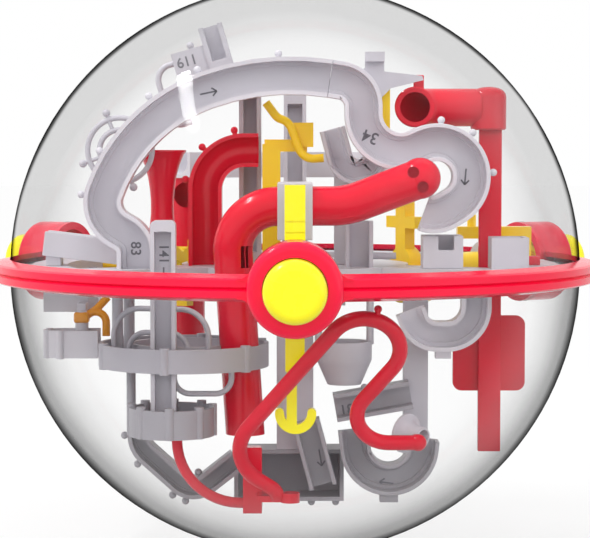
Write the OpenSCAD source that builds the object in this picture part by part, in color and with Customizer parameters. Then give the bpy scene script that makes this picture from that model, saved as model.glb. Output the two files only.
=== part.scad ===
// Dexterity puzzle: a clear globe with a red equator ring, three turning hand
// dials and a three-dimensional run of gutters, pipes and rails for a steel ball.
// The origin is the centre of the globe. +Z is up and the front dial faces -Y.

/* [Globe] */
// outside radius of the clear shells
shell_r = 95; // [94:0.5:104]
// wall of the clear shells
shell_t = 2.2; // [1.8:0.1:2.6]
// how far the red ring stands out from the shells
ring_w = 5.5; // [4:0.5:8]
// height of the red ring at its outer face
ring_h = 5.2; // [5:0.2:7]

/* [Dials] */
// outside radius of the red collars
collar_r = 14.1; // [13:0.1:15]
// how far the collars stand out from the shells
collar_out = 11.8; // [11:0.2:14]
// radius of the yellow knobs
knob_r = 9.3; // [8.4:0.1:9.8]
// how far the knobs stand out from the collars
knob_out = 9.6; // [6:0.2:12]
// radius of the dial shafts
shaft_r = 4; // [3:0.1:4.4]
// running gap round the shafts
run_gap = 0.06; // [0.02:0.01:0.1]

/* [Tracks] */
// outside width of the big front gutter
track_w = 12; // [11:0.25:12.5]
// depth of the big front gutter
track_h = 10; // [9:0.25:10.5]
// wall of all gutters
track_t = 1.3; // [1:0.1:1.5]
// outside radius of the red pipes
pipe_r = 6.25; // [5.8:0.05:6.4]
// wall of the red pipes
pipe_t = 1.4; // [1:0.1:1.6]
// radius of the wavy red rail
rail_r = 2.35; // [1.6:0.05:2.6]
// radius of the thin wire rails
wire_r = 0.9; // [0.6:0.05:1.1]
// radius of the steel ball
ball_r = 4; // [3:0.1:4.2]

/* [Hidden] */
$fn = 64;
deck_z0 = -1;
deck_z1 = 2;
hub_r = 38;
rim_t = 1.2;
flange_t = 1.6;
seam = 0.8;
flange_r = shell_r + ring_w - 2.2;
ring_r = shell_r + ring_w;
shell_in = shell_r - shell_t;
deck_r = shell_in - 4.8;
deck_w = 12;
side_x = deck_r - 4;
collar_end = shell_r + collar_out;
knob_end = collar_end + knob_out;
bore_r = collar_r - 2.6;
arch_y = -26;
pipe_y = -44;
pipe_z = 22.5;
arm_y = -58;
scoop_z = 41;
scoop_r = 6.4;
arm_sweep = scoop_z + scoop_r + 0.8;
tray_x = -36;
tray_y = -29;
tray_r = 27.5;
tray_z = -29.5;
rail_tilt = 26.57;
gutter_slope = 2;
gutter_w = 11.4;
column_w = 7.9;
column_h = 63.4;
mast_lean = 16.26020471;

// sweep a flat outline along straights [length] and bends [radius, angle]
module sweep(steps, i = 0) {
    if (i < len(steps)) {
        s = steps[i];
        if (len(s) == 1) {
            linear_extrude(s[0]) children();
            translate([0, 0, s[0]]) sweep(steps, i + 1) children();
        } else {
            side = s[1] > 0 ? 1 : -1;
            bend(s[0], s[1]) children();
            translate([side * s[0], 0, 0]) rotate([0, s[1], 0]) translate([-side * s[0], 0, 0])
                sweep(steps, i + 1) children();
        }
    }
}

// one bend of the sweep, to the left for a positive angle
module bend(r, a) {
    if (a > 0)
        mirror([1, 0, 0]) translate([-r, 0, 0]) rotate([90, 0, 0])
            rotate_extrude(angle = a) translate([r, 0]) mirror([0, 1]) mirror([1, 0]) children();
    else
        translate([-r, 0, 0]) rotate([90, 0, 0])
            rotate_extrude(angle = -a) translate([r, 0]) mirror([0, 1]) children();
}

// points [x, z, heading] along straights [length] and bends [radius, angle]
function walk(steps, x, z, d, i = 0) =
    i == len(steps) ? [[x, z, d]] :
    len(steps[i]) == 1 ?
        concat([[x, z, d]], walk(steps, x + steps[i][0] * cos(d), z + steps[i][0] * sin(d), d, i + 1)) :
    let (r = steps[i][0], a = steps[i][1], n = ceil(abs(a) / 6), g = a > 0 ? 1 : -1,
        cx = x - g * r * sin(d), cz = z + g * r * cos(d))
    concat([for (k = [0:n - 1]) let (t = d + a * k / n) [cx + g * r * sin(t), cz - g * r * cos(t), t]],
        walk(steps, cx + g * r * sin(d + a), cz - g * r * cos(d + a), d + a, i + 1));

// the same points, carried on a little past both ends
function longer(p) = let (a = p[0], b = p[len(p) - 1])
    concat([[a[0] - cos(a[2]), a[1] - sin(a[2]), a[2]]], p, [[b[0] + cos(b[2]), b[1] + sin(b[2]), b[2]]]);

// outline of a strip of half width w along the points
function strip(p, w) = concat(
    [for (q = p) [q[0] - w * sin(q[2]), q[1] + w * cos(q[2])]],
    [for (i = [len(p) - 1:-1:0]) [p[i][0] + w * sin(p[i][2]), p[i][1] - w * cos(p[i][2])]]);

// flat gutter along the points, back at depth y, open to the front
module face_track(p, y, w, h, t, step = 1.2)
    translate([0, y, 0]) rotate([90, 0, 0]) difference() {
        linear_extrude(h) polygon(strip(p, w / 2));
        translate([0, 0, t]) linear_extrude(h) polygon(strip(longer(p), w / 2 - t - step));
        translate([0, 0, t + step]) linear_extrude(h) polygon(strip(longer(p), w / 2 - t));
    }

// start of a path in an upright plane, open side to the front, d = heading
module face_path(x, y, z, d)
    translate([x, y, z]) rotate([0, -d, 0]) rotate(a = 180, v = [1, 0, 1]) children();

// start of a path in a level plane, open side up, d = heading, p = climb
module lay_path(x, y, z, d, p = 0)
    translate([x, y, z]) rotate([0, -p, d]) rotate(a = 120, v = [1, 1, 1]) children();

// gutter outline with a half-round groove
module gutter(w, h, t) {
    r = w / 2 - t;
    difference() {
        translate([-w / 2, 0]) square([w, h]);
        translate([0, t + r]) circle(r);
        translate([-r, t + r]) square([2 * r, h]);
    }
}

// gutter outline with a flat floor
module trough(w, h, t)
    difference() {
        translate([-w / 2, 0]) square([w, h]);
        translate([t - w / 2, t]) square([w - 2 * t, h]);
    }

module tube(r, t)
    difference() {
        circle(r);
        circle(r - t);
    }

// a box between two corners
module block(p, q) translate(p) cube(q - p);

// puts the +Z axis on a dial axis, a = turn from the front
module dial_axis(a) rotate([0, 0, a]) rotate([90, 0, 0]) children();

module dial_cuts(r) for (a = [0, -120, 120]) dial_axis(a) translate([0, 0, 60]) cylinder(r = r, h = 70);

// clear half globe with a clamping flange
module half_shell()
    difference() {
        rotate_extrude() difference() {
            union() {
                intersection() {
                    circle(shell_r, $fn = 128);
                    translate([0, rim_t / 2]) square([shell_r, shell_r]);
                }
                translate([shell_in, rim_t / 2]) square([flange_r - shell_in, flange_t]);
            }
            circle(shell_in, $fn = 128);
        }
        dial_cuts(collar_r + 0.15);
    }

module upper_shell() color([0.9, 0.95, 1, 0.25]) half_shell();
module lower_shell() color([0.9, 0.95, 1, 0.25]) mirror([0, 0, 1]) half_shell();

// red ring half: clamps the flange and carries half of each collar
module half_ring() {
    top = rim_t / 2 + flange_t + 0.1;
    difference() {
        union() {
            rotate_extrude() polygon([[shell_r + 0.1, top], [flange_r + 0.15, top], [flange_r + 0.15, 0],
                [ring_r - seam, 0], [ring_r, seam * 0.7], [ring_r, ring_h / 2],
                [ring_r - 0.8, ring_h / 2 + 0.5], [shell_r + 0.1, ring_h / 2 + 1.5]]);
            for (a = [0, -120, 120]) dial_axis(a) {
                collar_body();
                for (m = [0, 1]) mirror([m, 0, 0]) ring_blend();
            }
        }
        for (a = [0, -120, 120]) dial_axis(a) {
            translate([0, 0, 80]) cylinder(r = bore_r, h = collar_end - 3.2 - 80);
            translate([0, 0, 80]) cylinder(r = knob_r + 0.3, h = 50);
        }
        block([-150, -150, -60], [150, 150, 0]);
    }
}

// solid body of a collar with a rounded rim
module collar_body() {
    f = 2.4;
    z0 = shell_in - 1;
    rotate_extrude() {
        translate([0, z0]) square([collar_r, collar_end - f - z0]);
        translate([0, z0]) square([collar_r - f, collar_end - z0]);
        translate([collar_r - f, collar_end - f]) circle(f);
    }
}

// hollow corner between the ring and a collar
module ring_blend() {
    f = 3.5;
    h = ring_h / 2 + 0.4;
    x = sqrt(pow(collar_r + f, 2) - pow(h + f, 2));
    a0 = atan2(-h - f, -x) - 4;
    translate([0, 0, shell_r + 0.5]) linear_extrude(ring_w - 1.4) polygon(concat(
        [[collar_r - 2, h - 0.6], [x + 0.5, h - 0.6], [x + 0.5, h]],
        [for (i = [0:5]) let (b = -92 + (a0 + 92) * i / 5) [x + f * cos(b), h + f + f * sin(b)]],
        [[collar_r - 4, h + 2]]));
}

module ring_upper() color([0.9, 0.08, 0.2]) half_ring();
module ring_lower() color([0.9, 0.08, 0.2]) mirror([0, 0, 1]) half_ring();

// yellow hand knob with its keeper flange and shaft socket
module knob() {
    f = 3;
    k = collar_end - 3.6;
    rotate_extrude() difference() {
        union() {
            translate([0, k - 2]) square([knob_r, knob_end - f - k + 2]);
            translate([0, k - 2]) square([knob_r - f, knob_end - k + 2]);
            translate([knob_r - f, knob_end - f]) circle(f);
            translate([0, k - 2]) square([bore_r - 0.4, 2]);
            translate([0, k - 6]) square([shaft_r + 2, 5]);
        }
        translate([0, k - 7]) square([shaft_r + 0.03, 10]);
    }
}

module front_knob() color([1, 0.95, 0.1]) dial_axis(0) knob();
module left_knob() color([1, 0.95, 0.1]) dial_axis(-120) knob();
module right_knob() color([1, 0.95, 0.1]) dial_axis(120) knob();

// shaft from radius r0 out to the bottom of the knob socket
module shaft(r0) translate([0, 0, r0]) cylinder(r = shaft_r, h = collar_end - 0.6 - r0);

// grey deck: rim clamped between the shells, annulus, three spokes, hub and bearings
module carrier_deck() color([0.75, 0.74, 0.8])
    difference() {
        union() {
            difference() {
                rotate_extrude() {
                    translate([deck_r - deck_w, deck_z0]) square([deck_w, deck_z1 - deck_z0]);
                    translate([deck_r - 1, -rim_t / 2]) square([flange_r - deck_r + 1, rim_t]);
                }
                dial_cuts(collar_r + 0.3);
            }
            translate([0, 0, deck_z0]) cylinder(r = hub_r, h = deck_z1 - deck_z0);
            for (a = [60, 180, 300]) rotate([0, 0, a])
                block([-8, 8 - deck_r, deck_z0], [8, -20, deck_z1]);
            for (a = [0, -120, 120]) dial_axis(a)
                translate([0, 0, deck_r - deck_w]) cylinder(r = shaft_r + 3.5, h = deck_w);
            for (a = [0, -120, 120]) rotate([0, 0, a]) difference() {
                block([-24, 2 - deck_r, deck_z0], [24, deck_w - deck_r, deck_z1]);
                block([-14, -deck_r - 2, deck_z0 - 1], [14, 5 - deck_r, deck_z1 + 1]);
            }
        }
        for (a = [0, -120, 120]) dial_axis(a) translate([0, 0, 40]) cylinder(r = shaft_r + run_gap, h = 70);
        translate([0, arm_y + 1, 0]) rotate([90, 0, 0]) cylinder(r = arm_sweep, h = 8);
    }

// yellow front lever: shaft, top block, long bar and scoop
module lift_arm() color([1, 0.85, 0.1]) {
    dial_axis(0) shaft(-arm_y);
    block([-3, arm_y - 4, -28], [3, arm_y, 14]);
    block([-2.6, arm_y - 4, -46], [0.6, arm_y, -27]);
    translate([0, arm_y, 0]) rotate([90, 0, 0]) cylinder(r = shaft_r + 2.5, h = 4);
    difference() {
        block([-3.2, arm_y - 6, 12], [3.2, arm_y + 0.5, 29.5]);
        block([-4, arm_y - 7, 14.6], [4, arm_y - 5.4, 15.1]);
        block([-4, arm_y - 7, 18], [4, arm_y - 5.4, 18.5]);
    }
    translate([0.2, arm_y, -scoop_z]) rotate([90, 0, 0]) linear_extrude(4) {
        intersection() {
            tube(scoop_r, 2.8);
            translate([-8, -8]) square([16, 8]);
        }
        translate([5, 0]) circle(1.4);
        translate([-5, 0]) circle(1.4);
    }
}

// yellow paddle wheel on the left shaft
module left_rotor() color([1, 0.75, 0.1]) dial_axis(-120) {
    shaft(42);
    translate([0, 0, 42]) cylinder(r = shaft_r + 2.5, h = 5);
    for (a = [30, 150, 270]) rotate([0, 0, a]) block([3, -2, 42], [14, 2, 47]);
}

// yellow lever with pegs and a round weight on the right shaft
module right_rotor() color([1, 0.75, 0.1]) dial_axis(120) {
    shaft(42);
    difference() {
        translate([0, 0, 42]) cylinder(r = 13, h = 10);
        block([-14, 0, 41], [14, 14, 53]);
    }
    translate([0, 0, 42]) cylinder(r = shaft_r + 2.5, h = 5);
    block([-3, 0, 42], [3, 27, 46]);
    block([-9, 13, 42], [9, 17, 46]);
    for (x = [-7.5, 7.5]) translate([x, 15, 45]) cylinder(r = 1.5, h = 5);
    translate([0, 25, 45]) cylinder(r = 1.5, h = 4);
}

// run of the arch, and of the S track that starts at its end
arch_line = walk([[5.4], [7, 60], [2.4], [10, -80], [54, -50], [80, -29]], -51, deck_z1, 90);
arch_tip = arch_line[len(arch_line) - 1];
s_line = walk([[3.5], [8.5, -81], [2.3], [12, 115], [2], [11, -175], [3], [8, -50]],
    arch_tip[0] + 0.1 * cos(arch_tip[2]), arch_tip[1] + 0.1 * sin(arch_tip[2]), arch_tip[2]);

// small ball-ended pin on a track wall
module nub(l = 1.6) {
    cylinder(r = 0.8, h = l);
    translate([0, 0, l]) sphere(1.2);
}

// pin on a track wall at one point of its line, g = 1 on the left wall and -1 on the right
module wall_nub(p, y = arch_y - track_h + 3, w = track_w, g = 1) translate([p[0], y, p[1]])
    rotate([0, -p[2], 0]) rotate([90 - 90 * g, 0, 0]) translate([0, 0, w / 2 - 0.5]) nub();

// big grey arch gutter: foot on the deck, side bulge and the sweep over the top
module arch_track() color([0.8, 0.79, 0.85]) {
    face_track(arch_line, arch_y, track_w, track_h, track_t);
    for (i = [24, 28, 32, 35, 38]) wall_nub(arch_line[i]);
}

// grey S and hook-shaped gutter that carries on from the arch
module s_track() color([0.8, 0.79, 0.85]) {
    face_track(s_line, arch_y, track_w, track_h, track_t);
    for (i = [42, 48, 56]) wall_nub(s_line[i]);
}

// grey splice plate behind the joint of arch and S track
module top_clip() color([0.7, 0.69, 0.76]) {
    translate([0, arch_y + 2.5, 0]) rotate([90, 0, 0]) linear_extrude(2.5)
        polygon([[10, 57], [28, 57], [31, 60], [41.5, 62.6], [41, 64], [28.8, 65.4], [28.8, 71.6],
            [22.6, 71.6], [22.6, 66.5], [17.5, 64.5], [10, 63]]);
    block([22.6, arch_y - 3, 68.5], [28.8, arch_y + 1, 71.6]);
}

// grey mast with a strut to the arch, a top post, a number plate and two wire loops
module mast_bracket() color([0.78, 0.77, 0.83]) {
    difference() {
        block([-18.7, -3.7, deck_z1], [-11.3, 3.7, 69]);
        block([-17.2, -5, 6], [-12.8, 2, 58]);
    }
    block([-17, arch_y, 59], [-13, -3, 63]);
    block([-23, -12, 64.5], [-13, 1, 68]);
    translate([-21, 0, 64]) rotate([0, -mast_lean, 0]) translate([21, 0, -64]) {
        difference() {
            block([-27, -15, 62], [-19, -8, 82]);
            block([-25.4, -16, 70.5], [-20.6, -9.5, 83]);
        }
        block([-38, -14, 65], [-26, -12.2, 76.5]);
        block([-37.5, -13.5, 71.5], [-35.5, -8.5, 75.5]);
        for (y = [-12.7, -9.6]) translate([-36.5, y, 73.5]) rotate([0, 0, 180]) wire_loop();
        translate([-31, -13.1, 76]) nub();
        translate([-28.5, -13.1, 65.5]) rotate([180, 0, 0]) nub();
    }
}

// one hanging wire loop
module wire_loop() face_path(0, 0, 0, 0) sweep([[3], [5, -90], [11], [4, -90], [3]]) circle(wire_r);

// two round wires with pins, held off the back of the arch
module loop_rail() color([0.72, 0.72, 0.78]) {
    translate([-57, arch_y + 5, 40]) rotate([90, 0, 0]) {
        for (r = [6.6, 10.5]) rotate_extrude() translate([r, 0]) circle(wire_r);
        for (a = [20, 110, 200, 290]) rotate([0, 0, a]) translate([5.8, 0, 0]) rotate([0, 90, 0]) {
            cylinder(r = wire_r - 0.25, h = 7);
            translate([0, 0, 7]) sphere(1.3);
        }
    }
    translate([-53.5, arch_y, 46.1]) rotate([-90, 0, 0]) cylinder(r = 1.4, h = 6);
    translate([-60, arch_y, 30.5]) rotate([-90, 0, 0]) cylinder(r = 1.4, h = 6);
}

// grey upright channel with a number plate, from the top down into the small dish
module number_column() color([0.78, 0.77, 0.83]) {
    face_path(-41.25, -46.5, -48.6, 90) sweep([[column_h]]) trough(column_w, 6, track_t);
    translate([-41.25, -46.5, column_h - 48.6]) rotate([90, 0, 0]) linear_extrude(6) {
        translate([-column_w / 2, 0]) square([column_w, 1.6]);
        translate([1.8 - column_w / 2, 0]) square([column_w - 3.6, 3.4]);
        for (x = [-1, 1]) translate([x * (column_w / 2 - 1.8), 1.6]) circle(1.8);
    }
}

// red half pipe in a quarter turn behind the elbow pipe
module half_pipe() color([0.85, 0.06, 0.16]) {
    face_path(-12, -8, 40, 180)
        sweep([[4.5], [13, 90], [27 - deck_z1]]) gutter(11, 9, track_t);
    for (a = [100, 135, 170]) translate([-16.5, -15, 27]) rotate([0, 90 - a, 0])
        translate([0, 0, 18.2]) nub();
}

// red vase-shaped funnel on a stem and foot plate
module vase() color([0.85, 0.06, 0.16]) {
    translate([-44, -9.5, 0]) rotate_extrude()
        polygon([[0, deck_z1 + 0.5], [2.6, deck_z1 + 0.5], [2.6, 11], [5, 14], [5.6, 22], [6, 30], [8, 40],
            [6.8, 40], [4.8, 30.5], [4.4, 22], [4, 15], [0, 13]]);
    block([-47, -20, deck_z1], [-41, -6.5, deck_z1 + 2]);
}

// yellow post with a side block and an S-shaped rail
module wave_post() color([1, 0.7, 0.1]) {
    block([-10.7, -17, deck_z1], [-4.8, -11, 42]);
    block([-10, -16.5, 39.5], [4, -12.5, 43.5]);
    block([-0.5, -18, 41], [6, -11, 49]);
    face_path(-9.5, -19, 55.5, -53.13010235)
        sweep([[5], [4, 36.86989765], [5, -53.13010235], [7], [5, 73.73979529], [3]]) circle(1.4);
}

// grey V-shaped gutter on a leg
module vee_track() color([0.78, 0.77, 0.83]) {
    face_track(walk([[10], [6, 125], [10]], 12.2, 47, -75), -9, 8.5, 8, track_t, 0.9);
    block([13, -9.5, deck_z1], [18, -5, 40]);
}

// grey coupling between the two red pipes, with its foot on the deck
module pipe_coupler() color([0.78, 0.77, 0.83])
    difference() {
        union() {
            block([-5.5, pipe_y - 6.6, 12], [5.5, pipe_y + 6.6, 30]);
            block([-4, pipe_y + 6, deck_z1], [4, -28, 30]);
        }
        translate([-6, pipe_y, pipe_z]) rotate([0, 90, 0]) cylinder(r = pipe_r - pipe_t, h = 12);
    }

// the centre line of the red elbow pipe, leaning back a little
module elbow_line(m = 0) translate([-4, pipe_y, pipe_z]) rotate([7.2, 0, 0]) rotate([0, -3.5, 0])
    face_path(m, 0, 0, 180) sweep([[2.5 + m], [14, 90], [62 + m]]) children();

// red pipe: from the coupling, round an elbow and down through the round dish
module elbow_pipe() color([0.88, 0.07, 0.17])
    difference() {
        elbow_line() circle(pipe_r);
        elbow_line(1) circle(pipe_r - pipe_t);
        block([-17, -54, 3], [-8, -43, 10]);
        block([-30, -60, -65], [0, -20, -51]);
        block([-5.5, -60, 0], [0, -30, 40]);
    }

// red pipe with a rounded end, rising to the right
module swan_pipe() color([0.88, 0.07, 0.17])
    difference() {
        union() {
            translate([5.5, pipe_y, pipe_z]) face_path(0, 0, 0, 0)
                sweep([[6], [26, 20.60967], [20]]) circle(pipe_r);
            swan_end() sphere(pipe_r + 0.3);
        }
        translate([5.5, pipe_y, pipe_z]) face_path(0, 0, 0, 0)
            sweep([[6], [26, 20.60967], [20]]) circle(pipe_r - pipe_t);
        swan_end() sphere(pipe_r - pipe_t + 0.3);
        translate([5.4, pipe_y, pipe_z]) rotate([0, 90, 0]) cylinder(r = pipe_r - pipe_t, h = 2);
        swan_end() translate([-2.4, 0, 2]) rotate([90, 0, 0]) cylinder(r = 1.8, h = 9);
        swan_end() translate([0.6, 0, -2.6]) rotate([90, 0, 0]) cylinder(r = 1.8, h = 9);
    }

module swan_end() translate([5.5 + 6 + 26 * 0.352 + 20 * 0.936, pipe_y, pipe_z + 26 * 0.064 + 20 * 0.352])
    children();

// red tube with its open end to the front, then right and down
module top_tube() color([0.88, 0.07, 0.17]) {
    translate([39, -22, 54]) rotate([-90, 0, 0]) difference() {
        cylinder(r = pipe_r + 1.2, h = 3);
        translate([0, 0, -1]) cylinder(r = pipe_r - pipe_t, h = 5);
    }
    lay_path(39, -22, 54, 90) sweep([[3], [8, -90], [9]]) tube(pipe_r, pipe_t);
    face_path(56, -11, 54, 0) sweep([[8.5, -90], [3]]) tube(pipe_r, pipe_t);
    translate([40, -20.5, 59.5]) cylinder(r = 1.3, h = 5);
}

// red flat post under the tube, with a foot on the deck annulus
module flat_post() color([0.85, 0.06, 0.16]) {
    translate([64.5, -11, 40.5]) cylinder(r = pipe_r, h = 2);
    block([60.7, -12.5, -56], [68.2, -9.5, 41]);
    block([67, -13, deck_z1], [deck_r - 7, -9, 5]);
}

// red plate with rounded corners behind the flat post
module back_plate() color([0.85, 0.06, 0.16]) translate([64.5, -7, -27.5]) rotate([90, 0, 0])
    linear_extrude(2.5) {
        square([24, 19], center = true);
        square([18, 25], center = true);
        for (x = [-9, 9], z = [-9.5, 9.5]) translate([x, z]) circle(3);
    }

// yellow bar and peg behind the top clip
module peg_rail() color([1, 0.8, 0.1]) {
    block([28.3, arch_y + 2.5, 46], [30.8, arch_y + 5.5, 63]);
    translate([24, arch_y + 4.2, 57]) rotate([0, 90, 0]) cylinder(r = 1.5, h = 5);
}

// grey tower channel on the hub with a side rod
module tower_track() color([0.78, 0.77, 0.83]) {
    face_path(20.9, -18, deck_z1, 90) sweep([[15]]) trough(9, 7, track_t);
    translate([25, -20, 5.5]) rotate([0, 90, 0]) cylinder(r = 1.1, h = 8);
}

// grey open box on the right spoke
module right_box() color([0.78, 0.77, 0.83])
    difference() {
        block([41, -33, deck_z1], [54, -21, 12.6]);
        block([42.4, -31.6, 4], [52.6, -22.4, 17]);
        block([46, -34, 8], [51, -31, 17]);
    }

// grey open cup on the right of the deck
module right_cup() color([0.78, 0.77, 0.83])
    difference() {
        block([63, -34, deck_z1], [75, -21, 12]);
        block([64.4, -32.6, 4], [73.6, -22.4, 13]);
    }

// yellow beam on the right with its foot on the annulus
module right_beam() color([1, 0.8, 0.1]) {
    block([55, 5, 10], [side_x - 4, 11, 14]);
    block([side_x - 7, 5, deck_z1], [side_x - 4, 11, 11]);
    translate([60, 8, 13]) cylinder(r = 1.5, h = 5);
}

// yellow beam on the left of the hub
module left_beam() color([1, 0.75, 0.1])
    difference() {
        block([-36, -3, deck_z1], [-20, 3, 10]);
        block([-33, -4, 4], [-23, 4, 8]);
    }

// grey sloping gutter on the left with its foot on the annulus
module left_ramp() color([0.78, 0.77, 0.83])
    intersection() {
        union() {
            lay_path(1 - side_x, -12, 5.5, 0, -7) sweep([[26]]) gutter(11, 8, track_t);
            block([2 - side_x, -16, deck_z1], [7 - side_x, -8, 6]);
        }
        block([-side_x - 6, -30, deck_z1], [34 - side_x, 10, 30]);
    }

// wire hoop that stands over the round dish, legs h high, corners r, top l long
module hoop(p, h, r, l) translate([p[0], p[1], tray_z + 0.7]) rotate([0, 0, -mast_lean])
    face_path(0, 0, 0, 90) sweep([[h], [r, -90], [l], [r, -90], [h]]) circle(wire_r);

// grey round dish with an inner wall, hangers to the deck, wire hoops above and a wire loop below
module round_dish() color([0.8, 0.79, 0.85])
    difference() {
        union() {
            translate([tray_x, tray_y, tray_z]) rotate_extrude() {
                translate([16, 0]) square([tray_r - 16, 1.4]);
                translate([tray_r - 1.4, 0]) square([1.4, 7.5]);
                translate([16, 0]) square([1.4, 7.5]);
            }
            for (a = [-100:60:200]) translate([tray_x, tray_y, tray_z - 0.4]) rotate([0, 0, a])
                translate([tray_r - 0.9, 0, 0]) cylinder(r = 1.6, h = 8.4);
            for (p = [[-57, -33], [-54, -24]]) translate([p[0], p[1], tray_z + 0.5])
                cylinder(r = 1.8, h = deck_z0 - tray_z - 0.5);
            face_path(tray_x - 2, tray_y - tray_r + 8.5, tray_z + 0.5, -90)
                sweep([[2.5], [5, 90], [8], [5, 90], [2.5]]) circle(wire_r);
            hoop([-58, -36], 9.5, 9, 14);
            hoop([-53, -39], 5, 6, 8);
        }
        elbow_line() circle(pipe_r + 0.15);
        block([-41.35 - column_w / 2, -52.7, -40], [-41.15 + column_w / 2, -46.3, 0]);
    }

// grey small dish with bumpy sides under the number column
module small_dish() color([0.8, 0.79, 0.85]) translate([-39, -45, -50]) {
    rotate_extrude() {
        square([13.5, 1.4]);
        translate([12.1, 0]) square([1.4, 9]);
    }
    for (a = [0:45:315]) rotate([0, 0, a]) translate([12.8, 0, 0]) cylinder(r = 1.5, h = 10);
}

// grey gutter and box hanging under the left of the deck
module left_gutter() color([0.78, 0.77, 0.83]) translate([-side_x, 0, 0]) {
    lay_path(3, -16, -28, 0, 0) sweep([[16.5]]) gutter(11, 9, track_t);
    block([4, -10.5, -28], [8, -8.5, deck_z0]);
    block([4, -10, -13], [8, -5, -10]);
    difference() {
        block([0, -6, -14], [18, 8, deck_z0]);
        block([1.4, -4.6, -12.6], [16.6, 6.6, deck_z0 - 2]);
        block([6, -8, -11], [16, 0, deck_z0 - 3]);
    }
}

// orange hook on the left gutter
module left_hook() color([1, 0.5, 0.1]) translate([-side_x, 0, 0]) {
    block([8, -10.5, -12], [22, -8.5, -8]);
    face_path(20.5, -9, -10, -90) sweep([[6], [4, -90], [1.5], [3, -90], [1]]) circle(1.3);
}

// grey V-shaped chute low on the left, hung from the round dish
module v_chute() color([0.78, 0.77, 0.83]) {
    line = walk([[8], [8, 48], [14], [7, 80], [12]], -50.5, -44, -90);
    face_track(line, -25, 7, 8, track_t, 0.6);
    for (i = [1, 9, 11, 15]) wall_nub(line[i], -31, 7, -1);
    wall_nub(line[len(line) - 2], -31, 7);
    translate([-53, -30, -45]) cylinder(r = 1.5, h = tray_z + 45);
}

// grey number ramp low on the right
module number_ramp() color([0.8, 0.79, 0.85]) {
    face_path(13, -22, -43.5, 10) sweep([[25]]) trough(9, 8, track_t);
    translate([22.5, -28, -38]) nub(1.2);
}

// grey chute for the arrow plate, with the bottom box behind it
module arrow_chute() color([0.78, 0.77, 0.83]) {
    face_path(3.5, -22, -48, -75) sweep([[22]]) trough(9, 8, track_t);
    difference() {
        block([-20, -22, -75], [16, -8, -58]);
        block([-18.6, -24, -73.6], [14.6, -9.4, -59.4]);
    }
    for (x = [5.4, 13.4]) translate([x, -19, -74.5]) rotate([180, 0, 0]) nub(1.2);
}

// grey U-bend gutter low on the right
module u_bend_track() color([0.8, 0.79, 0.85]) {
    face_track(walk([[6], [11, 168], [3]], 19, -51, -84), -22, 10, 9, track_t);
    block([27.5, -29.5, -74.2], [33.5, -24, -71.2]);
}

// grey keel under the hub
module keel_post() color([0.72, 0.71, 0.78])
    difference() {
        block([-6, -22, -58], [6, -12, deck_z0]);
        block([-4.5, -20.5, -50], [4.5, -10, -8]);
    }

// grey tall post under the right spoke
module tall_post() color([0.72, 0.71, 0.78])
    difference() {
        block([35.5, -22, -60], [43.5, -16, deck_z0]);
        block([37, -20.5, -40], [42, -15, -8]);
    }

// red post at the bottom with a foot to the bottom box
module drop_post() color([0.85, 0.06, 0.16]) {
    block([-16.5, -46, -75], [-10.5, -40, -54]);
    block([-16.5, -41, -75], [-10.5, -22, -71]);
}

// thin red arc rail from the small dish to the drop post
module arc_rail() color([0.88, 0.07, 0.17])
    face_path(-37.5, -43, -50, -90) sweep([[2], [20, 90], [1]]) circle(1.1);

// wavy red rail in front of the lever
module wavy_rail() color([0.9, 0.08, 0.2]) {
    translate([0, -65, -45]) rotate([rail_tilt, 0, 0]) {
        face_path(38, 0, -5.6, 180)
            sweep([[9], [10, -126.86989765], [14], [11, 180], [43.5], [14, 90], [5], [5, -53.13010235]])
            circle(rail_r);
        translate([24.7, 0, 39]) nub(3.5);
    }
    translate([38, -62.5, -50]) {
        sphere(rail_r + 0.3);
        rotate([-90, 0, 0]) cylinder(r = 1.5, h = 62.5 - 51.3);
    }
    translate([-1.5, -53.7, -70]) cylinder(r = 3, h = 3);
    block([-12, -54, -70], [-1, -46, -68]);
}

// grey wheel and stub beside the tall post
module funnel_wheel() color([0.78, 0.77, 0.83]) {
    translate([36.5, -45, -50]) rotate([0, 90, 0]) difference() {
        union() {
            cylinder(r = 6.3, h = 7);
            cylinder(r = 4, h = 14.5);
        }
        translate([0, 0, 10]) cylinder(r = 2.6, h = 5);
    }
    block([37, -42, -50.5], [40, -22, -48]);
}

// grey J-shaped gutter hung from the right spoke
module j_track() color([0.8, 0.79, 0.85]) {
    face_track(walk([[9], [9.5, -90], [3], [8, -70], [3]], 58, deck_z0, -90), -30, 9.5, 8, track_t);
    block([45, -36.5, -26.6], [50, -31.5, -23.6]);
}

// grey cone on two hangers under the hub
module cone_box() color([0.78, 0.77, 0.83]) {
    translate([16, -25, 0]) rotate_extrude() difference() {
        polygon([[9, -22], [9, -28], [5.5, -36], [4.3, -36], [7.7, -28], [7.7, -22]]);
    }
    for (x = [7.6, 24.4]) translate([x, -25, -23]) cylinder(r = 1.2, h = deck_z0 + 23);
}

// grey rear start gutter with end walls, sloping down to the right
module rear_gutter() color([0.78, 0.77, 0.83]) {
    lay_path(-31, 50, -14, 0, -gutter_slope) {
        sweep([[49]]) gutter(gutter_w, 8, track_t);
        linear_extrude(track_t) translate([-gutter_w / 2, 0]) square([gutter_w, 8]);
        translate([0, 0, 49 - track_t]) linear_extrude(track_t)
            translate([-gutter_w / 2, 0]) square([gutter_w, 8]);
    }
    block([-4, 54.5, -14], [4, 57, deck_z0]);
}

// grey rear mast with the upper rear track lug
module rear_mast() color([0.72, 0.71, 0.78])
    difference() {
        block([-4, 42, deck_z1], [4, 48, 62]);
        block([-2.6, 41, 6], [2.6, 46.5, 56]);
    }

// grey rear keel under the rear spoke
module rear_keel() color([0.72, 0.71, 0.78]) block([-4, 57, -47], [4, 62, deck_z0]);

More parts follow.
